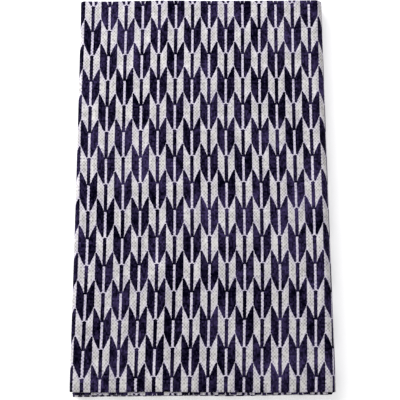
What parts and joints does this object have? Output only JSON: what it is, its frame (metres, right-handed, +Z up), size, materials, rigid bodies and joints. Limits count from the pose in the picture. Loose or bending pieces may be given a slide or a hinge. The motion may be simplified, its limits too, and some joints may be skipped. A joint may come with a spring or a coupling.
{
  "type": "folded tenugui towel",
  "caption": "Long cotton hand towel dyed in an arrow-feather repeat, folded flat into a slim oblong with its last fold along one side, to rest on a shelf, table or tray.",
  "frame": {"origin": "on the resting surface, under the middle of the folded towel's box", "axes": "+X along the folded strip towards its last fold, +Y away from the viewer along the longer side, +Z up through the layers"},
  "size_m": [0.1158, 0.182, 0.0105],
  "materials": {
    "cloth": "plain-woven cotton, dyed deep purple navy on an undyed pale ground, matt and slightly fuzzy"
  },
  "bodies": {
    "root": {"towel": "cloth"}
  },
  "joints": []
}
